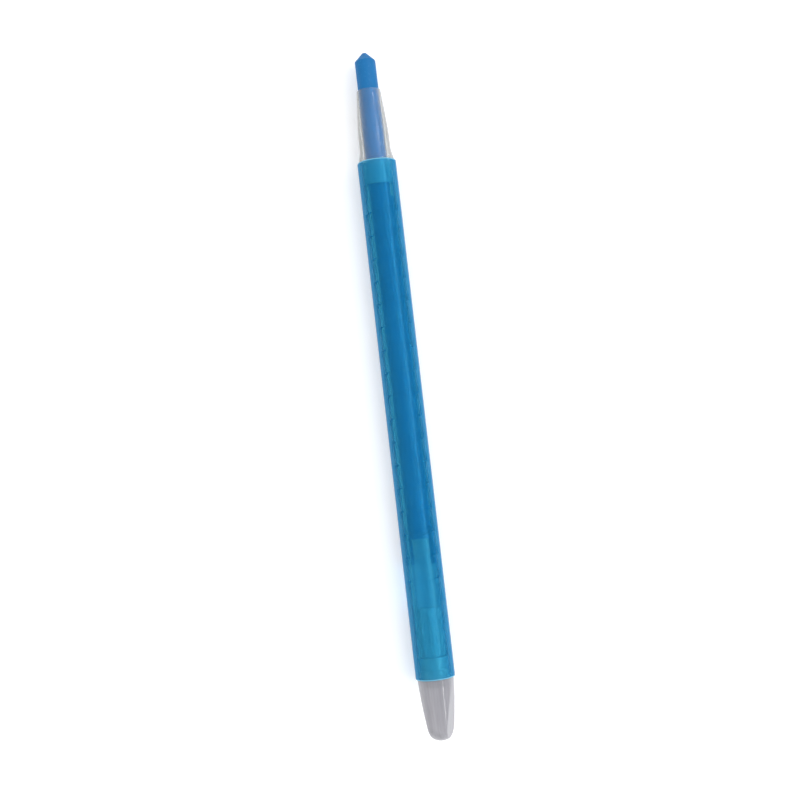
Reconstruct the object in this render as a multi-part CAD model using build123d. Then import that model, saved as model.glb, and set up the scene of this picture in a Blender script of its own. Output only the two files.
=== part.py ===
from build123d import *
import os

# Twist-up marking crayon: a solid marking stick in a see-through barrel.
#
# The knob, the slotted guide tube and the nozzle are one turning core inside the barrel. The
# carrier holds the crayon's base. Its two arms stand in the guide tube's slots, so it turns with
# the core, and the peg on each arm follows the barrel's helical groove. Turning the knob
# clockwise, seen from the knob, so moves the carrier and the crayon towards the tip.
#
# Each piece is drawn upright round the Z axis, in millimetres, with the barrel's rear edge at
# height 0 and the tip at the top. lay_down() puts it on its side at the end.

# ---------------------------------------------------------------- driving dimensions, in mm
# Diameters build up from the crayon outwards: the stick, its clearance, the guide tube's wall, its
# clearance and the barrel's wall.

# Crayon: the marking stick, with a blunt cone at its tip.
crayon_diameter = 4.8
crayon_cone_height = 2.0
crayon_tip_radius = 0.45
crayon_tip_rounding = 0.35
crayon_shoulder_rounding = 0.5
crayon_tip_out = 8.95

# Guide tube: the slotted tube between the nozzle and the knob.
tube_wall = 0.85
tube_slot_width = 1.8
tube_front_bridge = 3.0
tube_neck_wall = 0.42
tube_neck_length = 3.2

# Barrel: the coloured outer tube.
barrel_wall = 0.8
barrel_length = 118.8
barrel_rim_radius = 0.35

# Thread: one right-hand groove in the barrel's bore.
thread_lead = 5.25
thread_depth = 0.35
thread_run_out = 1.5

# Nozzle: the clear front end. Its heights are counted from its shoulder.
nozzle_length = 16.7
nozzle_shoulder_step = 0.3
nozzle_shoulder_slope = 0.5
nozzle_flare_height = 2.6
nozzle_flare_wall = 0.93
nozzle_waist_height = 7.2
nozzle_waist_wall = 0.85
nozzle_lip_wall = 0.25
nozzle_lip_rounding = 0.1
nozzle_collar_length = 5.6
nozzle_throat_length = 3.0

# Carrier: the fork behind the crayon.
carrier_disc_thickness = 1.4
carrier_arm_ahead = 1.4
carrier_arm_behind = 5.85
carrier_retract_travel = 9.9
peg_diameter = 0.9

# Knob: grip, collar and spigot in one moulding.
knob_grip_length = 14.0
knob_shoulder_step = 0.375
knob_end_step = 1.0
knob_dome_height = 3.3
knob_flat_start = 1.0
knob_end_thickness = 3.55
knob_edge_rounding = 0.6
knob_collar_length = 4.9
knob_land_length = 2.1
knob_land_step = 0.12
knob_blind_depth = 1.8
spigot_length = 11.0
spigot_wall = 0.45
spigot_rib_height = 0.4
spigot_rib_count = 8
spigot_rib_width = 0.7

# Fits and clearances, each on one side.
collar_clearance = 0.08
tube_clearance = 0.2
crayon_clearance = 0.25
mouth_clearance = 0.1
slide_clearance = 0.15
peg_side_clearance = 0.15
peg_tip_clearance = 0.1
end_play = 0.05
press_overlap = 0.02

# How far a cutting shape stands past what it cuts, and how near a picked edge lies to its height.
cutter_margin = 1.0
edge_tolerance = 0.01

# How far the pen is rolled about its axis as it lies, in degrees.
roll = -21.0

# ---------------------------------------------------------------- sizes that follow

crayon_radius = crayon_diameter / 2
tube_bore_radius = crayon_radius + crayon_clearance
tube_radius = tube_bore_radius + tube_wall
bore_radius = tube_radius + tube_clearance
barrel_radius = bore_radius + barrel_wall

# The core turns in the bore on its two collars. Necks and mouths follow the tube and the crayon.
collar_radius = bore_radius - collar_clearance
neck_radius = tube_bore_radius + tube_neck_wall
mouth_radius = crayon_radius + mouth_clearance
nozzle_shoulder_radius = barrel_radius - nozzle_shoulder_step
knob_shoulder_radius = barrel_radius - knob_shoulder_step
knob_end_radius = barrel_radius - knob_end_step
spigot_core_radius = tube_bore_radius - spigot_rib_height
thread_width = peg_diameter + 2 * peg_side_clearance

# Heights of the faces that meet, from the knob to the nozzle.
knob_shoulder_height = -end_play
knob_end_height = knob_shoulder_height - knob_grip_length
tube_rear_height = knob_collar_length
spigot_top_height = tube_rear_height + spigot_length
nozzle_shoulder_height = barrel_length + end_play
tube_front_height = nozzle_shoulder_height - nozzle_collar_length
neck_front_height = tube_front_height + tube_neck_length
slot_front_height = tube_front_height - tube_front_bridge
mouth_height = nozzle_shoulder_height + nozzle_length
tip_height = mouth_height + crayon_tip_out

# Carrier and crayon at rest.
carrier_rear_height = spigot_top_height + carrier_retract_travel
disc_rear_height = carrier_rear_height + carrier_arm_behind
crayon_base_height = disc_rear_height + carrier_disc_thickness
carrier_front_height = crayon_base_height + carrier_arm_ahead
carrier_advance_travel = slot_front_height - carrier_front_height

# Pegs: half a lead apart, because they face opposite sides of a single-start thread.
peg_height = (carrier_rear_height + carrier_front_height) / 2 - thread_lead / 4
other_peg_height = peg_height + thread_lead / 2
thread_start = peg_height - carrier_retract_travel - thread_run_out
thread_end = other_peg_height + carrier_advance_travel + thread_run_out


# ---------------------------------------------------------------- helpers

def turned(*outline):
    """The solid turned about Z from a closed outline of (radius, height) points and curves."""
    return revolve(Plane.XZ * make_face(list(outline)), Axis.Z)


def turned_points(*points):
    """The solid turned about Z from the corners of its outline."""
    return turned(*Polyline(*points, close=True).edges())


def ring(outer_radius, inner_radius, bottom, top):
    """A plain tube between two heights."""
    corners = [(inner_radius, bottom), (outer_radius, bottom), (outer_radius, top), (inner_radius, top)]
    return turned_points(*corners)


def rod(radius, bottom, top):
    """A plain round bar between two heights."""
    return Pos(0, 0, bottom) * Cylinder(radius, top - bottom, align=(Align.CENTER, Align.CENTER, Align.MIN))


def bar(inner, outer, width, bottom, top):
    """A straight bar along Z that stands between two distances from the axis, towards +X."""
    centre = Pos((inner + outer) / 2, 0, (bottom + top) / 2)
    return centre * Box(outer - inner, width, top - bottom)


def edges_between(shape, low, high):
    """The edges of a shape whose middles lie between two heights."""
    return [edge for edge in shape.edges() if low < edge.center(CenterOf.BOUNDING_BOX).Z < high]


def edges_at(shape, height):
    """The edges of a shape that lie at one height."""
    return edges_between(shape, height - edge_tolerance, height + edge_tolerance)


# ---------------------------------------------------------------- pieces

def thread_groove():
    """The path that the carrier's pegs follow: a rectangle carried along a right-hand helix."""
    inner = bore_radius - thread_depth
    outer = bore_radius + thread_depth
    helix = Helix(pitch=thread_lead, height=thread_end - thread_start, radius=bore_radius)
    section = Plane.XZ * Pos((inner + outer) / 2, 0) * Rectangle(outer - inner, thread_width)
    groove = sweep(section, path=helix, is_frenet=True)
    phase = -360 * (peg_height - thread_start) / thread_lead
    return Pos(0, 0, thread_start) * Rot(0, 0, phase) * groove


def barrel():
    """Outer tube with rounded rims and the thread in its bore."""
    tube = ring(barrel_radius, bore_radius, 0, barrel_length)
    circles = tube.edges().filter_by(GeomType.CIRCLE)
    rims = [edge for edge in circles if edge.radius > barrel_radius - edge_tolerance]
    return fillet(rims, barrel_rim_radius) - thread_groove()


def nozzle_outside():
    """The nozzle's outer form: a flared shoulder that runs into a long straight taper."""
    shoulder = (nozzle_shoulder_radius, nozzle_shoulder_height)
    flare_top = (tube_bore_radius + nozzle_flare_wall, nozzle_shoulder_height + nozzle_flare_height)
    waist = (tube_bore_radius + nozzle_waist_wall, nozzle_shoulder_height + nozzle_waist_height)
    lip = (mouth_radius + nozzle_lip_wall, mouth_height)
    start_slope = (-nozzle_shoulder_slope, 1)
    taper_slope = (lip[0] - waist[0], lip[1] - waist[1])
    return turned(
        Spline(shoulder, flare_top, waist, tangents=[start_slope, taper_slope]),
        Line(waist, lip),
        Line(lip, (0, mouth_height)),
        Line((0, mouth_height), (0, nozzle_shoulder_height)),
        Line((0, nozzle_shoulder_height), shoulder),
    )


def nozzle():
    """Clear front end: the tapered outside, a collar in the barrel, a socket and a throat."""
    socket_radius = neck_radius - press_overlap
    waist_height = nozzle_shoulder_height + nozzle_waist_height
    throat_height = mouth_height - nozzle_throat_length
    passage = turned_points(
        (0, tube_front_height - cutter_margin),
        (socket_radius, tube_front_height - cutter_margin),
        (socket_radius, neck_front_height),
        (tube_bore_radius, neck_front_height),
        (tube_bore_radius, waist_height),
        (mouth_radius, throat_height),
        (mouth_radius, mouth_height + cutter_margin),
        (0, mouth_height + cutter_margin),
    )
    collar = rod(collar_radius, tube_front_height, nozzle_shoulder_height)
    body = nozzle_outside() + collar - passage
    return fillet(edges_at(body, mouth_height), nozzle_lip_rounding)


def guide_tube():
    """Tube with a neck for the nozzle and two opposite slots, open at the knob's end."""
    tube = ring(tube_radius, tube_bore_radius, tube_rear_height, tube_front_height)
    neck = ring(neck_radius, tube_bore_radius, tube_front_height, neck_front_height)
    slot_start = tube_rear_height - cutter_margin
    slot = bar(0, barrel_radius, tube_slot_width, slot_start, slot_front_height)
    return tube + neck - slot - Rot(0, 0, 180) * slot


def carrier():
    """Fork that holds the crayon's base: a disc, two arms in the slots and a peg on each arm."""
    disc = rod(tube_bore_radius - slide_clearance, disc_rear_height, crayon_base_height)
    grip_radius = crayon_radius - press_overlap
    width = tube_slot_width - 2 * slide_clearance
    arm_blank = bar(0, barrel_radius, width, carrier_rear_height, carrier_front_height)
    sleeve = ring(tube_radius, grip_radius, carrier_rear_height, carrier_front_height)
    arm = arm_blank & sleeve
    peg_reach = bore_radius + thread_depth - peg_tip_clearance
    peg_base = (tube_radius + grip_radius) / 2
    peg = Rot(0, 90, 0) * rod(peg_diameter / 2, peg_base, peg_reach)
    one_side = arm + Pos(0, 0, peg_height) * peg
    other_side = arm + Pos(0, 0, other_peg_height) * peg
    return disc + one_side + Rot(0, 0, 180) * other_side


def crayon():
    """Marking stick: a straight cylinder with a blunt, slightly worn cone."""
    cone_base = tip_height - crayon_cone_height
    stick = turned_points(
        (0, crayon_base_height),
        (crayon_radius, crayon_base_height),
        (crayon_radius, cone_base),
        (crayon_tip_radius, tip_height),
        (0, tip_height),
    )
    stick = fillet(edges_at(stick, tip_height), crayon_tip_rounding)
    return fillet(edges_at(stick, cone_base), crayon_shoulder_rounding)


def knob_grip():
    """Tapering grip with a domed end and two flats that converge to a blunt chisel."""
    shoulder = (knob_shoulder_radius, knob_shoulder_height)
    side_end = (knob_end_radius, knob_end_height + knob_dome_height)
    side_slope = (side_end[0] - shoulder[0], side_end[1] - shoulder[1])
    grip = turned(
        Line((0, knob_shoulder_height), shoulder),
        Line(shoulder, side_end),
        TangentArc(side_end, (0, knob_end_height), tangent=side_slope),
        Line((0, knob_end_height), (0, knob_shoulder_height)),
    )
    flat_top = knob_shoulder_height - knob_flat_start
    cut_bottom = knob_end_height - cutter_margin
    flat = Polyline(
        (knob_shoulder_radius, flat_top),
        (knob_end_thickness / 2, knob_end_height),
        (knob_end_thickness / 2, cut_bottom),
        (2 * barrel_radius, cut_bottom),
        (2 * barrel_radius, flat_top),
        close=True,
    )
    cutter = extrude(Plane.XZ * make_face(flat.edges()), 2 * barrel_radius, both=True)
    grip = grip - cutter - Rot(0, 0, 180) * cutter
    return fillet(edges_between(grip, cut_bottom, flat_top - edge_tolerance), knob_edge_rounding)


def knob():
    """Twist knob: the grip, a stepped collar in the barrel and a ribbed spigot in the tube."""
    collar = rod(collar_radius, knob_shoulder_height, knob_land_length)
    lead_in = rod(collar_radius - knob_land_step, knob_land_length, knob_collar_length)
    core = rod(spigot_core_radius, knob_collar_length, spigot_top_height)
    body = knob_grip() + collar + lead_in + core
    rib_blank = bar(0, barrel_radius, spigot_rib_width, knob_collar_length, spigot_top_height)
    rib = rib_blank & rod(tube_bore_radius + press_overlap, knob_collar_length, spigot_top_height)
    first_angle = 180 / spigot_rib_count
    for number in range(spigot_rib_count):
        body += Rot(0, 0, first_angle + 360 * number / spigot_rib_count) * rib
    blind_end = knob_shoulder_height - knob_blind_depth
    blind_bore = rod(spigot_core_radius - spigot_wall, blind_end, spigot_top_height + cutter_margin)
    return body - blind_bore


def lay_down(piece):
    """Rolls the upright piece about its axis and lays it along +Y, resting on the ground."""
    middle = (tip_height + knob_end_height) / 2
    return Pos(0, -middle, barrel_radius) * Rot(-90, 0, 0) * Rot(0, 0, roll) * piece


# ---------------------------------------------------------------- export

os.makedirs("parts", exist_ok=True)
pieces = {
    "barrel": barrel(),
    "nozzle": nozzle(),
    "guide_tube": guide_tube(),
    "carrier": carrier(),
    "crayon": crayon(),
    "knob": knob(),
}
for node, piece in pieces.items():
    export_step(lay_down(piece), f"parts/{node}.step")

print(f"barrel: {2 * barrel_radius:.2f} mm across, bore {2 * bore_radius:.2f} mm")
print(f"crayon travel: {-carrier_retract_travel:.2f} to {carrier_advance_travel:.2f} mm")
print(f"crayon length: {tip_height - crayon_base_height:.1f} mm")
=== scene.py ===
# %% [markdown]
# # A twist-up marking crayon, from the frame to the picture
#
# The real object is a slim see-through pen with a stick of marking wax inside. This lesson dresses
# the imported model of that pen: it reads where each part is, builds the surfaces that light passes
# through as smooth meshes, and gives every part a procedural finish. Nothing that moves is moved
# here, because the frame already holds every part in its place.

# %% Load the frame
import math

import bpy
import numpy as np
from mathutils import Matrix, Vector


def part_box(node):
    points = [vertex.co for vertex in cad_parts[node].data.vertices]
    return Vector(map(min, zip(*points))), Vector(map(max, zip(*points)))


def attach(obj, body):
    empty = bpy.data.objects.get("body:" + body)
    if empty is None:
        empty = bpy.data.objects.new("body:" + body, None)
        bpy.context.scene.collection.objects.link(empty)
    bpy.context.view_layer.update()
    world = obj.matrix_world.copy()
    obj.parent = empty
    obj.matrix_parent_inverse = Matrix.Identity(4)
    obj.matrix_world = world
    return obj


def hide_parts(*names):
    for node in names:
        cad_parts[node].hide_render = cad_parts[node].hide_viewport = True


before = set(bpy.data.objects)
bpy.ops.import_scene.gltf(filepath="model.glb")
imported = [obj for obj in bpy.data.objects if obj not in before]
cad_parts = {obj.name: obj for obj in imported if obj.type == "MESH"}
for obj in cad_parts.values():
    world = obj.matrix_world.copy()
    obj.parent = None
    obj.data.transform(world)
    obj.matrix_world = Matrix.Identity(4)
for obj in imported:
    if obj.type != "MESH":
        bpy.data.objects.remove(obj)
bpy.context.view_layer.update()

print("parts in the frame:", sorted(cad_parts))

# %% [markdown]
# ## Places and sizes
#
# The ends of each part, and the barrel's radius, come from the frame's boxes. A box does not tell a
# bore, a wall or a thread, so those sizes are the model's own, written again in the cell that needs
# them, and have to be changed there too if the model's are. The pen lies along +Y, so one number
# says where a thing is along it: its height above the barrel's rear edge, as if the pen stood on
# its knob. Sizes are in metres, written as so many millimetres.

# %% Read the places along the pen
MM = 0.001
barrel_low, barrel_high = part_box("barrel")
rear_edge = barrel_low.y
axis_z = (barrel_low.z + barrel_high.z) / 2
barrel_radius = (barrel_high.x - barrel_low.x) / 2
barrel_length = barrel_high.y - barrel_low.y


def span(node):
    """The lowest and highest height of a part above the barrel's rear edge, in metres."""
    low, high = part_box(node)
    return low.y - rear_edge, high.y - rear_edge


nozzle_span = span("nozzle")
crayon_span = span("crayon")
carrier_span = span("carrier")
tube_span = span("guide_tube")
knob_span = span("knob")
pen_roll = math.radians(-21)
print(f"barrel {barrel_length / MM:.1f} mm long, {2 * barrel_radius / MM:.1f} mm across")

# %% [markdown]
# ## Surfaces as grids
#
# Almost every part of a pen is turned: an outline carried round an axis. Blender could spin a curve
# or use a Screw modifier, but a grid of numbers is easier to shape, because any point may be
# pushed in or out by a formula before it becomes a vertex. Each row of the grid is one point of the
# outline and each column one direction round the axis.

# %% Number the faces of a grid
def volume_of(points, triangles):
    """A sixth of the sum of a . (b x c) over the triangles: positive if they face outwards."""
    a, b, c = (points[triangles[:, k]] for k in range(3))
    return float(np.einsum("ij,ij->i", a, np.cross(b, c)).sum() / 6)


def quads_of(rows, columns, ring):
    """Corner numbers of the grid's quads. Columns always wrap round, and rows wrap on a ring."""
    last = rows if ring else rows - 1
    r, c = np.meshgrid(np.arange(last), np.arange(columns), indexing="ij")
    after, beside = (r + 1) % rows, (c + 1) % columns
    corners = [r * columns + c, r * columns + beside, after * columns + beside, after * columns + c]
    return np.stack(corners, axis=-1).reshape(-1, 4)


def caps_of(rows, columns):
    """Corner numbers of the triangles that join the first and the last row to a pole each."""
    here = np.arange(columns)
    beside = (here + 1) % columns
    first_pole, last_pole = rows * columns, rows * columns + 1
    first = np.stack([beside, here, np.full(columns, first_pole)], axis=-1)
    last_row = (rows - 1) * columns
    last = np.stack([last_row + here, last_row + beside, np.full(columns, last_pole)], axis=-1)
    return np.concatenate([first, last])


print("a grid of 3 rows and 4 columns has", len(quads_of(3, 4, False)), "quads")

# %% [markdown]
# ## From numbers to a mesh
#
# Blender can make a mesh from lists, but whole arrays go in faster through foreach_set. A
# see-through part needs its faces to point outwards, because light bends by them, and a closed
# surface tells by its volume: a negative one means that every face has to be turned round.

# %% Put a grid into a mesh
def mesh_from_faces(name, points, quads, triangles):
    """Puts points, quads and triangles into a smooth mesh object, turned to face outwards."""
    halves = np.concatenate([quads[:, [0, 1, 2]], quads[:, [0, 2, 3]], triangles])
    if volume_of(points - points.mean(axis=0), halves) < 0:
        quads, triangles = quads[:, ::-1], triangles[:, ::-1]
    corners = np.concatenate([quads.ravel(), triangles.ravel()]).astype(np.int32)
    starts = np.concatenate([
        4 * np.arange(len(quads)),
        4 * len(quads) + 3 * np.arange(len(triangles)),
    ]).astype(np.int32)
    mesh = bpy.data.meshes.new(name)
    mesh.vertices.add(len(points))
    mesh.vertices.foreach_set("co", points.astype(np.float32).ravel())
    mesh.loops.add(len(corners))
    mesh.loops.foreach_set("vertex_index", corners)
    mesh.polygons.add(len(starts))
    mesh.polygons.foreach_set("loop_start", starts)
    mesh.polygons.foreach_set("use_smooth", np.ones(len(starts), bool))
    mesh.update(calc_edges=True)
    mesh.validate()
    piece = bpy.data.objects.new(name, mesh)
    bpy.context.scene.collection.objects.link(piece)
    print(f"{name}: {len(points)} points, {len(halves)} triangles")
    return piece


print("meshes are shaded smooth")

# %% [markdown]
# ## Carrying an outline round the pen
#
# A tube is an outline that comes back to its start, so its rows wrap round as its columns do. A
# solid piece is an open outline that begins and ends on the axis, where a single point closes it.

# %% Turn an outline round the axis
def directions(count):
    """Evenly spaced directions round the pen's axis, as one row of angles."""
    return np.linspace(0, 2 * np.pi, count, endpoint=False)[None, :]


def lay_down(radius, angle, height):
    """Points on the lying pen: x = r cos a, y = rear edge + height, z = axis - r sin a.

    The angle counts from the pen's own side, which is rolled a little about its axis.
    """
    turned = angle + pen_roll
    x = radius * np.cos(turned)
    y = rear_edge + height + 0 * turned
    z = axis_z - radius * np.sin(turned)
    return np.stack(np.broadcast_arrays(x, y, z), axis=-1)


def turned_ring(name, radius, height, count):
    """A closed outline that never meets the axis, carried round it: a tube of any wall."""
    points = lay_down(radius, directions(count), height)
    rows = points.shape[0]
    no_caps = np.empty((0, 3), int)
    return mesh_from_faces(name, points.reshape(-1, 3), quads_of(rows, count, True), no_caps)


def turned_solid(name, radius, height, count):
    """An open outline carried round the axis, closed at both ends by a point on the axis."""
    points = lay_down(radius, directions(count), height)
    rows = points.shape[0]
    poles = np.stack([points[0].mean(axis=0), points[-1].mean(axis=0)])
    every = np.concatenate([points.reshape(-1, 3), poles])
    return mesh_from_faces(name, every, quads_of(rows, count, False), caps_of(rows, count))


print(f"the pen is rolled by {math.degrees(pen_roll):.0f} degrees about its axis")

# %% [markdown]
# ## Outlines with rounded corners
#
# Moulded plastic has no sharp corners, and a polished edge shows it: the light runs along the
# rounding as a fine bright line. So each corner of an outline becomes a small arc, and each straight
# run gets extra points, two of them close to its ends so that smooth shading stays flat between.

# %% Round the corners of an outline
LEAST_ARC_POINTS = 7
ARC_SPACING = 0.2 * MM
END_INSET = 0.04 * MM


def arc_at(before, corner, after, rounding):
    """Points of the circle that touches both sides of a corner.

    The circle's centre lies on the corner's bisector, and the points turn evenly about it.
    """
    steps = LEAST_ARC_POINTS + int(rounding / ARC_SPACING)
    one, two = before - corner, after - corner
    one, two = one / np.linalg.norm(one), two / np.linalg.norm(two)
    half = math.acos(float(np.clip(one @ two, -1, 1))) / 2
    reach = rounding / math.tan(half)
    middle = (one + two) / np.linalg.norm(one + two)
    centre = corner + middle * rounding / math.sin(half)
    start, end = corner + one * reach - centre, corner + two * reach - centre
    sweep = math.pi - 2 * half
    share = np.linspace(0, 1, steps)[:, None]
    return centre + (np.sin((1 - share) * sweep) * start + np.sin(share * sweep) * end) / math.sin(sweep)


def run_between(start, end, step):
    """Points strictly between two ends: one close to each end, the rest a step apart."""
    length = float(np.linalg.norm(end - start))
    inset = min(END_INSET, length / 4)
    count = max(2, int(length / step) + 2)
    share = np.linspace(inset / length, 1 - inset / length, count)[:, None]
    return start + share * (end - start)


def outline(corners, step):
    """Radii and heights of an open outline, from (radius, height, rounding) corners in millimetres.

    Its ends stay sharp. A corner with a rounding becomes an arc, and straight runs join the arcs.
    """
    table = np.array(corners, float) * MM
    places, roundings = table[:, :2], table[:, 2]
    count = len(places)
    stretches = []
    for k in range(count):
        if roundings[k] == 0 or k in (0, count - 1):
            stretches.append(places[k][None])
        else:
            stretches.append(arc_at(places[k - 1], places[k], places[k + 1], roundings[k]))
    pieces = [stretches[0]]
    for one, following in zip(stretches, stretches[1:]):
        pieces += [run_between(one[-1], following[0], step), following]
    joined = np.concatenate(pieces)
    return joined[:, :1], joined[:, 1:]


corner_points = len(arc_at(np.array([0, MM]), np.zeros(2), np.array([MM, 0]), 0.2 * MM))
print("a corner rounded by 0.2 mm gets", corner_points, "points")

# %% [markdown]
# ## Camera
#
# The pen is seen from straight above, from about a forearm's length away, a little skewed in the
# frame. A long lens keeps the perspective mild. The camera leans by three degrees, so that the
# knob's end is slightly nearer than the tip.

# %% Place the camera
camera_data = bpy.data.cameras.new("camera")
camera = bpy.data.objects.new("camera", camera_data)
bpy.context.scene.collection.objects.link(camera)
bpy.context.scene.camera = camera
camera_data.sensor_width = 36
camera_data.lens = 60.75

camera_distance = 309 * MM
camera_lean = math.radians(3.0)
camera_skew = math.radians(6.51)
aim_aside = -0.84 * MM
aim_behind_front_rim = 55.3 * MM
look_at = Vector((aim_aside, rear_edge + barrel_length - aim_behind_front_rim, axis_z))
sight = Vector((0, math.sin(camera_lean), -math.cos(camera_lean)))
skyward = Vector((math.sin(camera_skew), math.cos(camera_skew), 0))
across = sight.cross(skyward).normalized()
upright = across.cross(sight)
camera.matrix_world = Matrix.Translation(look_at - sight * camera_distance) @ Matrix((
    (across.x, upright.x, -sight.x, 0),
    (across.y, upright.y, -sight.y, 0),
    (across.z, upright.z, -sight.z, 0),
    (0, 0, 0, 1),
))
print("camera at", [round(v, 4) for v in camera.matrix_world.translation])

# %% [markdown]
# ## Floor
#
# The pen lies on a pale board. A plane from Blender's menu would do, but a square of four points
# needs no scaling. It reaches far out, so that the horizon stays straight in a low view, and the
# plain Standard view transform keeps the board white and the plastic's colours as they are mixed.

# %% Make the floor
FLOOR_HALF_SIZE = 20.0
scene = bpy.context.scene
scene.view_settings.view_transform = "Standard"


def flat_floor(half_size):
    """A square in the plane z = 0, which is where the pen rests."""
    corners = half_size * np.array([(-1, -1, 0), (1, -1, 0), (1, 1, 0), (-1, 1, 0)], float)
    mesh = bpy.data.meshes.new("floor")
    mesh.from_pydata(corners.tolist(), [], [(0, 1, 2, 3)])
    floor = bpy.data.objects.new("floor", mesh)
    scene.collection.objects.link(floor)
    return floor


floor = flat_floor(FLOOR_HALF_SIZE)
print("floor is", floor.dimensions.x, "m wide")

# %% [markdown]
# ## Light
#
# See-through plastic only shows what surrounds it, so the light is kept simple: a broad, slightly
# cool window to the right for the long highlights, a narrow strip beside it for the fine bright
# lines on polished edges, and a weak, warm fill from the left. Three area lights are enough, since
# the sky does the rest.

# %% Light the scene
def soft_panel(name, place, size, power, colour):
    """A rectangular area light, given by its two sides, that faces the middle of the pen."""
    data = bpy.data.lights.new(name, "AREA")
    data.shape = "RECTANGLE"
    data.size, data.size_y = size
    data.energy = power
    data.color = colour
    light = bpy.data.objects.new(name, data)
    light.location = place
    aim = look_at - Vector(place)
    light.rotation_euler = aim.to_track_quat("-Z", "Y").to_euler()
    scene.collection.objects.link(light)
    return light


soft_panel("window", (0.62, 0.1, 0.95), (0.8, 0.8), 2.25, (0.95, 0.98, 1.0))
soft_panel("strip", (0.66, 0.0, 0.72), (0.9, 0.045), 2.6, (1.0, 1.0, 1.0))
soft_panel("fill", (-0.9, -0.3, 0.8), (0.9, 0.9), 1.5, (1.0, 0.95, 0.82))

# %% [markdown]
# ## Shader arithmetic
#
# A finish is a recipe: this much cloudiness, more of it at the edges, none inside the barrel. Wiring
# Math nodes by hand hides the recipe, so a small class wraps a socket and lets the usual operators
# add the nodes.

# %% Wrap sockets for arithmetic
class Value:
    """A number that varies over a surface: operators on it add Math nodes to its material."""

    def __init__(self, recipe, socket):
        self.recipe = recipe
        self.socket = socket

    def math(self, operation, *others):
        """A Math node whose first number is this one."""
        return self.recipe.node("ShaderNodeMath", {"operation": operation}, self, *others)

    def __add__(self, other):
        return self.math("ADD", other)

    def __radd__(self, other):
        return self.math("ADD", other)

    def __sub__(self, other):
        return self.math("SUBTRACT", other)

    def __rsub__(self, other):
        return self.recipe.node("ShaderNodeMath", {"operation": "SUBTRACT"}, other, self)

    def __mul__(self, other):
        return self.math("MULTIPLY", other)

    def __rmul__(self, other):
        return self.math("MULTIPLY", other)

    def __pow__(self, other):
        return self.math("POWER", other)

    def clamped(self):
        """The number, held between 0 and 1."""
        return self.recipe.node("ShaderNodeClamp", {}, self)


print("operators that add nodes: + - * **")

# %% [markdown]
# ## Recipes
#
# Every other node comes from one method: the node's type, its settings, and then a value or a link
# for each socket, by number or by name. Colours and vectors go through Mix and Vector Math, because
# a Math node would turn them grey.

# %% Add nodes through one method
def set_stops(ramp, stops):
    """Gives the stops of a colour ramp their positions and colours."""
    for stop, (position, colour) in zip(ramp.elements, stops):
        stop.position = position
        stop.color = colour


class Recipe:
    """The node tree of a material or of the sky, with one method that adds any node."""

    def __init__(self, owner, output="ShaderNodeOutputMaterial"):
        self.owner = owner
        self.output = output
        owner.use_nodes = True
        self.tree = owner.node_tree
        self.tree.nodes.clear()

    def node(self, kind, settings, *values, out=0, **named):
        """Adds a node: its settings first, then values or links for its sockets."""
        made = self.tree.nodes.new(kind)
        for key, setting in settings.items():
            if key == "stops":
                set_stops(made.color_ramp, setting)
            else:
                setattr(made, key, setting)
        for key, value in [*enumerate(values), *named.items()]:
            socket = made.inputs[key if isinstance(key, int) else key.replace("_", " ")]
            if isinstance(value, Value):
                self.tree.links.new(value.socket, socket)
            elif value is not None:
                socket.default_value = value
        return Value(self, made.outputs[out]) if made.outputs else None

    def place(self):
        """Object coordinates, measured from the pen's axis at the barrel's rear edge."""
        raw = self.node("ShaderNodeTexCoord", {}, out="Object")
        return self.node("ShaderNodeMapping", {}, raw, Location=(0, -rear_edge, -axis_z))

    def noise(self, place, stretch, scale, detail=3.0):
        """Noise from 0 to 1. The place is squeezed by stretch first, so the grain can run one way."""
        squeezed = self.node("ShaderNodeVectorMath", {"operation": "MULTIPLY"}, place, stretch)
        return self.node(
            "ShaderNodeTexNoise", {}, Vector=squeezed, Scale=scale, Detail=detail, Roughness=0.55,
        )

    def between(self, value, low, high, bottom=0.0, top=1.0):
        """Maps low..high to bottom..top with soft ends."""
        return self.node(
            "ShaderNodeMapRange", {"interpolation_type": "SMOOTHSTEP"}, value, low, high, bottom, top,
        )

    def mix(self, share, first, second):
        """A colour between two colours, which are the sockets 6 and 7 of a Mix node."""
        pair = [c if isinstance(c, Value) else (*c, 1.0) for c in (first, second)]
        not_colours = [None] * 5
        return self.node("ShaderNodeMix", {"data_type": "RGBA"}, share, *not_colours, *pair, out=2)

    def along(self, place):
        """The height above the barrel's rear edge, in metres."""
        return self.node("ShaderNodeSeparateXYZ", {}, place, out="Y")

    def bump(self, height, distance):
        """A Bump node: height times distance is how far the surface seems to rise, in metres."""
        return self.node("ShaderNodeBump", {}, Strength=1.0, Distance=distance, Height=height)

    def let_light_in(self, surface, tint):
        """Lets light from the lamps pass straight through the surface, tinted, to what is behind it."""
        to_lamp = self.node("ShaderNodeLightPath", {}, out="Is Shadow Ray")
        open_way = self.node("ShaderNodeBsdfTransparent", {}, Color=(*tint, 1.0))
        return self.node("ShaderNodeMixShader", {}, to_lamp, surface, open_way)

    def finish(self, surface):
        """Joins the last shader to the output, and gives back the material or the sky."""
        self.node(self.output, {}, Surface=surface)
        print("finish:", self.owner.name, "with", len(self.tree.nodes), "nodes")
        return self.owner


def material_recipe(name):
    """An empty recipe for a new material."""
    return Recipe(bpy.data.materials.new(name))


print("recipes can be written")

# %% [markdown]
# ## Board and sky
#
# The board is matt and white with a trace of grain, and glows a little as a light table does, so
# that some light comes up through the plastic. The sky is a colour ramp over how high a ray points:
# bright overhead and dimmer at the horizon, which draws the thin grey edges that tell clear plastic
# from nothing.

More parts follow.
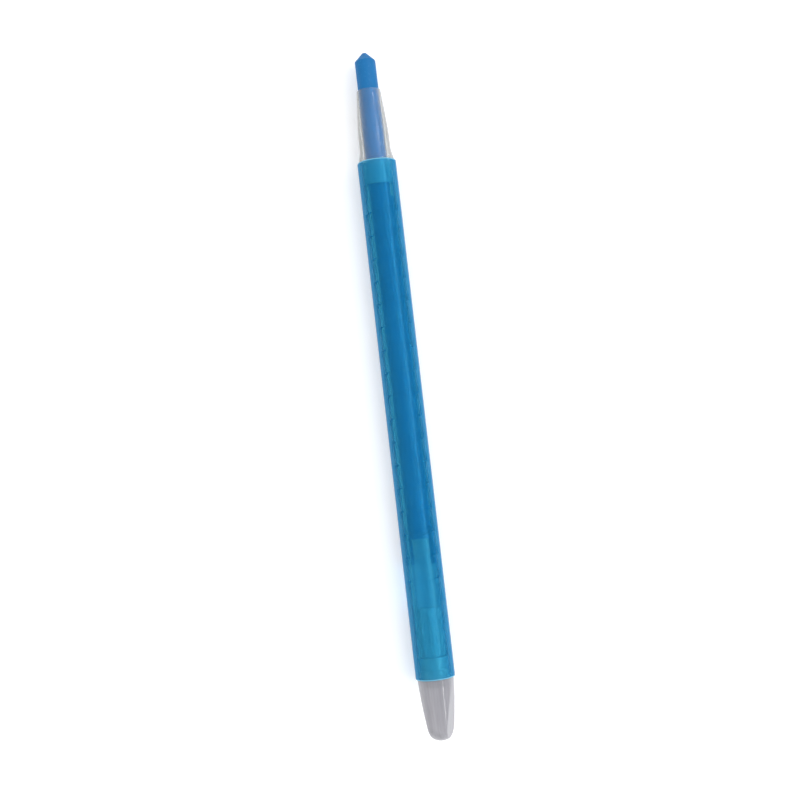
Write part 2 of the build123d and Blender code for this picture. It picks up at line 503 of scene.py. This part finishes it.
# %% Finish the floor and the sky
def floor_finish():
    """Matt white with a fine grain in its colour and its surface, and a faint glow."""
    recipe = material_recipe("matt_board")
    place = recipe.node("ShaderNodeTexCoord", {}, out="Object")
    grain = recipe.noise(place, (1, 1, 1), 180.0)
    colour = recipe.mix(grain, (0.93, 0.93, 0.93), (0.97, 0.97, 0.97))
    surface = recipe.node(
        "ShaderNodeBsdfPrincipled", {}, Base_Color=colour, Roughness=0.85,
        Normal=recipe.bump(grain, 0.02 * MM), Emission_Color=(1.0, 1.0, 1.0, 1.0), Emission_Strength=0.2,
    )
    return recipe.finish(surface)


def sky_light():
    """A soft sky: pale grey at the horizon, nearly white from seven tenths of the way up."""
    recipe = Recipe(bpy.data.worlds.new("sky"), "ShaderNodeOutputWorld")
    direction = recipe.node("ShaderNodeTexCoord", {}, out="Generated")
    upward = recipe.node("ShaderNodeSeparateXYZ", {}, direction, out="Z")
    stops = [(0.0, (0.6, 0.61, 0.63, 1)), (0.7, (0.97, 0.98, 1.0, 1))]
    colour = recipe.node("ShaderNodeValToRGB", {"stops": stops}, upward)
    return recipe.finish(recipe.node("ShaderNodeBackground", {}, Color=colour, Strength=0.95))


floor.data.materials.append(floor_finish())
scene.world = sky_light()

# %% [markdown]
# ## Barrel
#
# The barrel is a moulded tube with a screw groove down its bore, which shows through the wall as a
# ladder of soft marks. A boolean cut would leave ragged shading on a see-through part, so the bore's
# radius is a formula instead: it grows by the groove's depth wherever a point lies within half a
# groove's width of the helix.

# %% Build the barrel
BORE_RADIUS = 3.7 * MM
THREAD_LEAD = 5.25 * MM
THREAD_DEPTH = 0.35 * MM
THREAD_WIDTH = 1.2 * MM
THREAD_SOFTNESS = 0.12 * MM
THREAD_RUN_OUT = 1.5 * MM
GROOVE_FADE = 0.8 * MM
TUBE_FRONT_SOLID = 6.2 * MM
BORE_INSET = 0.1 * MM
BORE_STEP = 0.21 * MM
# An outline's corners are given in millimetres, and so are these two roundings.
RIM_ROUNDING = 0.35
BORE_ROUNDING = 0.05

first_peg = sum(carrier_span) / 2 - THREAD_LEAD / 4


def helix_distance(angle, height):
    """How far a point is from the thread's middle, along the pen.

    The middle climbs by one lead a turn, and passes the carrier's first peg at angle 0, so the
    distance is the height less the peg's and the climb, wrapped to within half a lead.
    """
    climb = THREAD_LEAD * angle / (2 * np.pi)
    return (height - first_peg - climb + THREAD_LEAD / 2) % THREAD_LEAD - THREAD_LEAD / 2


def groove_depth(angle, height, start, end):
    """Depth of the groove: full within its width, with soft sides and soft ends."""
    off = np.abs(helix_distance(angle, height))
    sides = np.clip((THREAD_WIDTH / 2 + THREAD_SOFTNESS - off) / (2 * THREAD_SOFTNESS), 0, 1)
    ends = np.clip(np.minimum(height - start, end - height) / GROOVE_FADE, 0, 1)
    smooth = sides * sides * (3 - 2 * sides)
    return THREAD_DEPTH * smooth * ends


def make_barrel(count=112):
    """Outer wall, rounded rims, and a bore whose radius is 3.7 mm plus the groove's depth."""
    outer, length, bore = barrel_radius / MM, barrel_length / MM, BORE_RADIUS / MM
    rims = [
        (bore, 0, BORE_ROUNDING), (outer, 0, RIM_ROUNDING),
        (outer, length, RIM_ROUNDING), (bore, length, BORE_ROUNDING),
    ]
    outside_radius, outside_height = outline(rims, 2 * MM)
    slot_front = tube_span[1] - TUBE_FRONT_SOLID
    thread_start = first_peg - (carrier_span[0] - knob_span[1]) - THREAD_RUN_OUT
    thread_end = first_peg + THREAD_LEAD / 2 + slot_front - carrier_span[1] + THREAD_RUN_OUT
    bore_height = np.arange(barrel_length - BORE_INSET, BORE_INSET, -BORE_STEP)[:, None]
    depth = groove_depth(directions(count), bore_height, thread_start, thread_end)
    radius = np.concatenate([outside_radius + 0 * directions(count), BORE_RADIUS + depth])
    height = np.concatenate([outside_height, bore_height])
    return turned_ring("barrel_shell", radius, height, count)


barrel = make_barrel()

# %% [markdown]
# ## Nozzle
#
# The nozzle is a thin clear cone that guides the stick. Outside it flares where it meets the barrel,
# inside it has a throat just wider than the stick, and a socket for the guide tube's neck. The flare
# is a cubic curve, given by its two ends and the direction that it leaves them in.

# %% Build the nozzle
def cubic(start, start_slope, end, end_slope, steps):
    """Hermite's cubic between two points: it leaves each along the slope given there."""
    t = np.linspace(0, 1, steps)[:, None]
    start, end, start_slope, end_slope = (np.array(v, float) for v in (start, end, start_slope, end_slope))
    blend_start = 2 * t**3 - 3 * t**2 + 1
    blend_end = 3 * t**2 - 2 * t**3
    return (
        blend_start * start + (t**3 - 2 * t**2 + t) * start_slope
        + blend_end * end + (t**3 - t**2) * end_slope
    )


# Corners of the outline, in millimetres. Heights of the outside are counted from the shoulder.
FOOT_RADIUS = 4.2
FLARE_RADIUS = 3.57
FLARE_HEIGHT = 2.9
WAIST_RADIUS = 3.42
WAIST_HEIGHT = 8.2
LIP_RADIUS = 2.75
MOUTH_RADIUS = 2.5
THROAT_LENGTH = 3.0
FUNNEL_LENGTH = 9.0
TUBE_BORE_RADIUS = 2.65
NECK_RADIUS = 3.05
NECK_LENGTH = 3.2
COLLAR_RADIUS = 3.62
END_PLAY = 0.05
CURVE_POINTS = 14


def make_nozzle(count=128):
    """The clear front end as one closed outline: collar, flare, taper, mouth, throat and socket."""
    collar_end, mouth = nozzle_span[0] / MM, nozzle_span[1] / MM
    shoulder = barrel_length / MM + END_PLAY
    socket_end = collar_end + NECK_LENGTH
    throat = (MOUTH_RADIUS, mouth - THROAT_LENGTH, 1.0)
    foot, foot_slope = (FOOT_RADIUS, shoulder), (-0.75, 1.6)
    flare_top, flare_slope = (FLARE_RADIUS, shoulder + FLARE_HEIGHT), (-0.06, 2.0)
    waist, waist_slope = (WAIST_RADIUS, shoulder + WAIST_HEIGHT), (-0.5, 5.0)
    flare = cubic(foot, foot_slope, flare_top, flare_slope, CURVE_POINTS)
    taper = cubic(flare_top, flare_slope, waist, waist_slope, CURVE_POINTS)
    side = np.concatenate([flare[1:], taper[1:-1]]) * MM
    inside = [
        throat, (TUBE_BORE_RADIUS, mouth - FUNNEL_LENGTH, 1.0),
        (TUBE_BORE_RADIUS, socket_end, 0.05), (NECK_RADIUS, socket_end, 0.05),
        (NECK_RADIUS, collar_end, 0.1), (COLLAR_RADIUS, collar_end, 0.15),
        (COLLAR_RADIUS, shoulder, 0.03), (*foot, 0),
    ]
    front = [(*waist, 0), (LIP_RADIUS, mouth, 0.12), (MOUTH_RADIUS, mouth, 0.08), throat]
    inside_radius, inside_height = outline(inside, 0.8 * MM)
    front_radius, front_height = outline(front, 0.8 * MM)
    radius = np.concatenate([inside_radius, side[:, :1], front_radius[:-1]])
    height = np.concatenate([inside_height, side[:, 1:], front_height[:-1]])
    return turned_ring("nozzle_shell", radius, height, count)


nozzle = make_nozzle()

# %% [markdown]
# ## Crayon
#
# The stick is moulded wax: straight, with a blunt cone that use has already dulled. Wax takes marks
# easily, so its radius is disturbed by a few slow waves round and along it, and by a small flat
# where the cone was rubbed on cloth.

# %% Build the crayon
# Corners of the outline and the rub's reach, in millimetres. The shares are of the radius.
CRAYON_RADIUS = 2.4
CONE_HEIGHT = 2.0
TIP_RADIUS = 0.45
POLE_RADIUS = 0.02
WAVE_SHARE = 0.004
RUB_SHARE = 0.10
RUB_REACH = 2.6


def make_crayon(count=96):
    """A stick with a dulled cone. Its radius is the outline's, less slow waves and the rubbed flat.

    A wave is a sine round the stick times a sine along it. The flat is the square of a cosine round
    the stick, and grows from nothing behind the cone to its full share at the tip.
    """
    base, tip = crayon_span[0] / MM, crayon_span[1] / MM
    corners = [
        (POLE_RADIUS, base, 0), (CRAYON_RADIUS, base, 0.15), (CRAYON_RADIUS, tip - CONE_HEIGHT, 0.5),
        (TIP_RADIUS, tip - 0.03, 0.4), (POLE_RADIUS, tip, 0),
    ]
    radius, height = outline(corners, 0.35 * MM)
    angle = directions(count)
    along = height / MM
    waves = np.sin(3 * angle + 0.7 * along) * np.sin(0.31 * along + 2 * angle)
    near_tip = np.clip(1 - (tip - along) / RUB_REACH, 0, 1)
    rubbed = near_tip * np.clip(np.cos(angle - 1.1), 0, 1) ** 2
    radius = radius * (1 - WAVE_SHARE * waves - RUB_SHARE * rubbed)
    return turned_solid("crayon_stick", radius, height, count)


crayon = make_crayon()

# %% [markdown]
# ## Knob
#
# The knob is one clear moulding: a tapering grip with two flats that meet in a chisel end, a collar
# that turns in the barrel, and a ribbed spigot pressed into the guide tube. One outline runs from
# the chisel's end, up the outside and down into the blind bore. Flats and ribs are formulas on the
# radius: a flat at distance d cuts the circle off at d / |cos a|.

# %% Build the knob
# Corners of the outline, in millimetres, with height 0 at the barrel's rear edge.
GRIP_LENGTH = 14.0
GRIP_RADIUS = 4.125
GRIP_END_RADIUS = 3.307
DOME_ROUNDING = 3.46
FLAT_START = 1.0
FLAT_END_DISTANCE = 1.85
FLAT_SOFTNESS = 0.25 * MM
LAND_HEIGHT = 2.1
NARROW_COLLAR_RADIUS = 3.5
COLLAR_LENGTH = 4.9
SPIGOT_RADIUS = 2.25
BLIND_BORE_RADIUS = 1.8
BLIND_DEPTH = 1.8
RIB_COUNT = 8
RIB_HEIGHT = 0.42 * MM


def soft_minimum(a, b, width):
    """The smaller of two lengths, rounded off where they are within width of each other."""
    share = np.clip(0.5 + (b - a) / (2 * width), 0, 1)
    return b + (a - b) * share - width * share * (1 - share)


def flat_distance(height):
    """How far the flats stand from the axis: straight from the shoulder's radius to the end."""
    share = np.clip((-height / MM - FLAT_START) / (GRIP_LENGTH - FLAT_START), 0, 1)
    return (GRIP_RADIUS + (FLAT_END_DISTANCE - GRIP_RADIUS) * share) * MM


def rib_profile(angle):
    """1 on a rib and 0 between ribs, with rounded sides."""
    wave = np.cos(RIB_COUNT * (angle - np.pi / RIB_COUNT))
    return np.clip(0.5 + 1.6 * (wave - 0.35), 0, 1)


def make_knob(count=192):
    """Chisel grip, collar, ribbed spigot and blind bore as one closed surface with two poles."""
    end, top = knob_span[0] / MM, knob_span[1] / MM
    shoulder = -END_PLAY
    blind_end = shoulder - BLIND_DEPTH
    grip_corners = [
        (POLE_RADIUS, end, 0), (GRIP_END_RADIUS, end, DOME_ROUNDING), (GRIP_RADIUS, shoulder, 0.12),
    ]
    collar_corners = [
        (COLLAR_RADIUS, shoulder, 0.03), (COLLAR_RADIUS, LAND_HEIGHT, 0.04),
        (NARROW_COLLAR_RADIUS, LAND_HEIGHT + 0.04, 0.04), (NARROW_COLLAR_RADIUS, COLLAR_LENGTH, 0.12),
    ]
    spigot_corners = [
        (SPIGOT_RADIUS, COLLAR_LENGTH, 0.05), (SPIGOT_RADIUS, top, 0.12), (BLIND_BORE_RADIUS, top, 0.1),
        (BLIND_BORE_RADIUS, blind_end, 0.4), (POLE_RADIUS, blind_end, 0),
    ]
    radius, height = outline([*grip_corners, *collar_corners, *spigot_corners], 0.3 * MM)
    angle = directions(count)
    row = np.arange(len(height))[:, None]
    before_blind_end = row < 0.75 * len(height)
    on_grip = before_blind_end & (height < -0.04 * MM) & (radius > 0.1 * MM)
    flats = flat_distance(height) / np.maximum(np.abs(np.cos(angle)), 0.05)
    grip = soft_minimum(radius + 0 * angle, flats, FLAT_SOFTNESS)
    shaped = np.where(on_grip, grip, radius + 0 * angle)
    above_collar = (height > (COLLAR_LENGTH + 0.2) * MM) & (height < (top - 0.15) * MM)
    on_spigot = above_collar & (radius > 2.2 * MM)
    ribs = np.where(on_spigot, RIB_HEIGHT * rib_profile(angle), 0)
    return turned_solid("knob_moulding", shaped + ribs, height, count)


knob = make_knob()

# %% [markdown]
# ## Tinted barrel plastic
#
# The barrel is a soft, clear plastic with a blue dye: light passes, but it is scattered enough to
# look milky. Pure glass would be too clean, so the finish mixes a tinted transmission with a share
# of plain coloured plastic, more of it at the edges, where the eye looks through more wall. At the
# cut ends a painted rim highlight makes that plastic paler and gives it a larger share, in place of
# the light that runs inside the wall. Flow lines from the mould run along it, and handling has left
# fine scratches.
#
# Glass in a path tracer shades what is behind it, because a lamp's light is not found through it.
# So rays that look for a lamp meet a plain transparent shader with the wall's tint instead, and the
# crayon inside is lit.

# %% Finish the barrel
BARREL_GLOSS_TINT = (0.15, 0.6, 0.82, 1.0)
# Where the painted rim highlight begins and where it is full, measured in from each cut end.
PAINTED_RIM_HIGHLIGHT_START = 0.45 * MM
PAINTED_RIM_HIGHLIGHT_FULL = 0.1 * MM


def barrel_finish():
    """See-through blue mixed with milky blue: a little everywhere, nearly all of it at the edges."""
    recipe = material_recipe("barrel_blue_plastic")
    place = recipe.place()
    flow = recipe.noise(place, (1, 0.06, 1), 500.0)
    cloud = recipe.noise(place, (1, 0.5, 1), 160.0)
    peel = recipe.noise(place, (1, 1, 1), 2600.0)
    scratch = recipe.between(recipe.noise(place, (1, 0.02, 1), 5200.0, 2.0), 0.62, 0.7)
    tone = (0.3 * flow + 0.7 * cloud).clamped()
    roughness = (0.12 + 0.08 * cloud + 0.1 * scratch).clamped()
    relief = recipe.bump(peel, 0.006 * MM)
    height = recipe.along(place)
    # Painted rim highlight: a pale band of colour within half a millimetre of each cut end.
    painted_rear_rim_highlight = recipe.between(height, PAINTED_RIM_HIGHLIGHT_FULL, PAINTED_RIM_HIGHLIGHT_START, 1.0, 0.0)
    painted_front_rim_highlight = recipe.between(height, barrel_length - PAINTED_RIM_HIGHLIGHT_START, barrel_length - PAINTED_RIM_HIGHLIGHT_FULL)
    painted_rim_highlight = painted_rear_rim_highlight + painted_front_rim_highlight
    tint = recipe.mix(tone, (0.31, 0.79, 0.86), (0.38, 0.85, 0.91))
    dye = recipe.mix(tone, (0.004, 0.17, 0.37), (0.008, 0.21, 0.43))
    clear = recipe.node(
        "ShaderNodeBsdfPrincipled", {}, Base_Color=tint, Roughness=roughness, IOR=1.27, Normal=relief,
        Transmission_Weight=1.0, Specular_Tint=BARREL_GLOSS_TINT,
    )
    # At the cut ends the milky colour turns to the pale blue of the painted rim highlight.
    milk = recipe.node(
        "ShaderNodeBsdfPrincipled", {}, Base_Color=recipe.mix(painted_rim_highlight, dye, (0.25, 0.6, 0.78)),
        Roughness=roughness, IOR=1.15, Normal=relief, Specular_Tint=BARREL_GLOSS_TINT,
    )
    edge = recipe.node("ShaderNodeLayerWeight", {}, 0.5, out="Facing")
    # The painted rim highlight also raises the milky share at the cut ends.
    share = (0.14 + 0.06 * cloud + 2.6 * edge ** 2 + 0.5 * painted_rim_highlight).clamped()
    body = recipe.node("ShaderNodeMixShader", {}, share, clear, milk)
    return recipe.finish(recipe.let_light_in(body, (0.2, 0.54, 0.71)))


barrel_plastic = barrel_finish()

# %% [markdown]
# ## Clear plastic
#
# The nozzle, the guide tube and the knob are clear mouldings of the same kind, and differ in how
# grey and how thick they are, so one function makes all three finishes. A part of clear plastic is
# never quite clear: it has a haze, and more of it where the wall is seen edge on. Inside the
# barrel the collars and the spigot look frosted, as they would from a mould with a rougher face.

# %% Finish the clear parts
RIM_BLEND = 0.1 * MM


def clear_finish(name, tint, fog, haze, frost, thick, roughness, ior, lit):
    """Clear plastic mixed with a haze.

    tint colours what is seen through it, and lit the lamp light that falls through it. fog is the
    haze's colour and haze its share outside the barrel, to which thick adds at the edges. frost is
    the share inside the barrel.
    """
    recipe = material_recipe(name)
    place = recipe.place()
    cloud = recipe.noise(place, (1, 0.4, 1), 240.0)
    streak = recipe.noise(place, (1, 0.03, 1), 1200.0, 2.0)
    scratch = recipe.between(recipe.noise(place, (1, 0.03, 1), 4200.0, 2.0), 0.6, 0.7)
    peel = recipe.noise(place, (1, 0.7, 1), 1500.0)
    rough = (roughness + 0.05 * cloud + 0.1 * scratch).clamped()
    relief = recipe.bump(peel, 0.004 * MM)
    height = recipe.along(place)
    past_rear_rim = recipe.between(height, -RIM_BLEND, RIM_BLEND)
    past_front_rim = recipe.between(height, barrel_length - RIM_BLEND, barrel_length + RIM_BLEND)
    hidden = past_rear_rim * (1 - past_front_rim)
    darker_tint = tuple(0.92 * t for t in tint)
    clear = recipe.node(
        "ShaderNodeBsdfPrincipled", {}, Base_Color=recipe.mix(cloud, tint, darker_tint),
        Roughness=rough, IOR=ior, Normal=relief, Transmission_Weight=1.0,
    )
    grain = (0.5 * cloud + 0.5 * streak).clamped()
    mist = recipe.mix(grain, tuple(0.8 * f for f in fog), tuple(1.2 * f for f in fog))
    milk = recipe.node(
        "ShaderNodeBsdfPrincipled", {}, Base_Color=recipe.mix(hidden, mist, (0.8, 0.82, 0.84)),
        Roughness=rough, IOR=ior, Normal=relief,
    )
    edge = recipe.node("ShaderNodeLayerWeight", {}, 0.5, out="Facing")
    open_share = haze * (0.7 + 0.6 * streak) + thick * edge ** 2
    share = (open_share * (1 - hidden) + frost * hidden).clamped()
    body = recipe.node("ShaderNodeMixShader", {}, share, clear, milk)
    return recipe.finish(recipe.let_light_in(body, lit))


nozzle_plastic = clear_finish(
    "nozzle_clear_plastic", tint=(0.94, 0.97, 0.98), fog=(0.4, 0.4, 0.39), haze=0.03, frost=0.35,
    thick=1.7, roughness=0.06, ior=1.25, lit=(0.9, 0.92, 0.94),
)
knob_plastic = clear_finish(
    "knob_clear_plastic", tint=(0.62, 0.61, 0.64), fog=(0.35, 0.345, 0.37), haze=0.55, frost=0.55,
    thick=1.0, roughness=0.03, ior=1.4, lit=(0.8, 0.8, 0.82),
)
tube_plastic = clear_finish(
    "guide_tube_plastic", tint=(0.94, 0.95, 0.96), fog=(0.5, 0.52, 0.55), haze=0.03, frost=0.06,
    thick=0.0, roughness=0.08, ior=1.2, lit=(0.96, 0.97, 0.98),
)

# %% [markdown]
# ## Wax
#
# The stick is taken to be wax and pigment. Its blue is not even: it is mottled, drawn out along the
# stick, and pitted where grains broke away. A little light enters wax and comes back out, which is
# a small subsurface share, and the satin shine comes and goes with the mottling.

# %% Finish the wax
def wax_finish():
    """Mottled blue with small pale pits, and a relief of the same mottle, pits and drag lines."""
    recipe = material_recipe("blue_wax")
    place = recipe.place()
    mottle = recipe.noise(place, (1, 1, 1), 420.0, 4.0)
    drag = recipe.noise(place, (1, 0.05, 1), 1500.0)
    pits = recipe.between(recipe.noise(place, (1, 1, 1), 2400.0, 2.0), 0.62, 0.72)
    tone = (0.6 * mottle + 0.4 * drag).clamped()
    colour = recipe.mix(tone, (0.004, 0.13, 0.34), (0.012, 0.17, 0.43))
    colour = recipe.mix(0.3 * pits, colour, (0.06, 0.26, 0.5))
    relief = recipe.bump(mottle - 0.6 * pits + 0.3 * drag, 0.03 * MM)
    surface = recipe.node(
        "ShaderNodeBsdfPrincipled", {}, Base_Color=colour, Roughness=(0.42 + 0.2 * mottle).clamped(),
        IOR=1.4, Specular_IOR_Level=0.3, Normal=relief, Subsurface_Weight=0.1,
        Subsurface_Radius=(0.6 * MM, 0.8 * MM, 1.0 * MM), Subsurface_Scale=1.0,
    )
    return recipe.finish(surface)


crayon_wax = wax_finish()

# %% [markdown]
# ## Carrier plastic
#
# The carrier is an opaque moulding in a blue close to the crayon's. It is only seen through the
# barrel, so a cloudy colour and a slight unevenness are enough.

# %% Finish the carrier
def carrier_finish():
    """Opaque satin blue, a little cloudy."""
    recipe = material_recipe("carrier_blue_plastic")
    place = recipe.place()
    cloud = recipe.noise(place, (1, 1, 1), 700.0)
    colour = recipe.mix(cloud, (0.01, 0.13, 0.34), (0.015, 0.17, 0.4))
    surface = recipe.node(
        "ShaderNodeBsdfPrincipled", {}, Base_Color=colour, Roughness=(0.3 + 0.15 * cloud).clamped(),
        IOR=1.45, Normal=recipe.bump(cloud, 0.01 * MM),
    )
    return recipe.finish(surface)


carrier_plastic = carrier_finish()

# %% [markdown]
# ## Joining the looks to the frame
#
# Each new surface stands for the part of the same shape in the frame and rides on that part's body,
# so it follows the knob's turns. The guide tube and the carrier keep the frame's own meshes.

# %% Assign the finishes and bind the pieces
def stands_for(piece, node, body, material):
    """Gives a new piece its finish and puts it in the place of a part of the frame."""
    piece.data.materials.append(material)
    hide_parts(node)
    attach(piece, body)


stands_for(barrel, "barrel", "barrel", barrel_plastic)
stands_for(nozzle, "nozzle", "core", nozzle_plastic)
stands_for(knob, "knob", "core", knob_plastic)
stands_for(crayon, "crayon", "feed", crayon_wax)
for node, material in (("guide_tube", tube_plastic), ("carrier", carrier_plastic)):
    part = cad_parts[node]
    part.data.materials.clear()
    part.data.materials.append(material)
    print(node, "keeps its own mesh and takes", material.name)
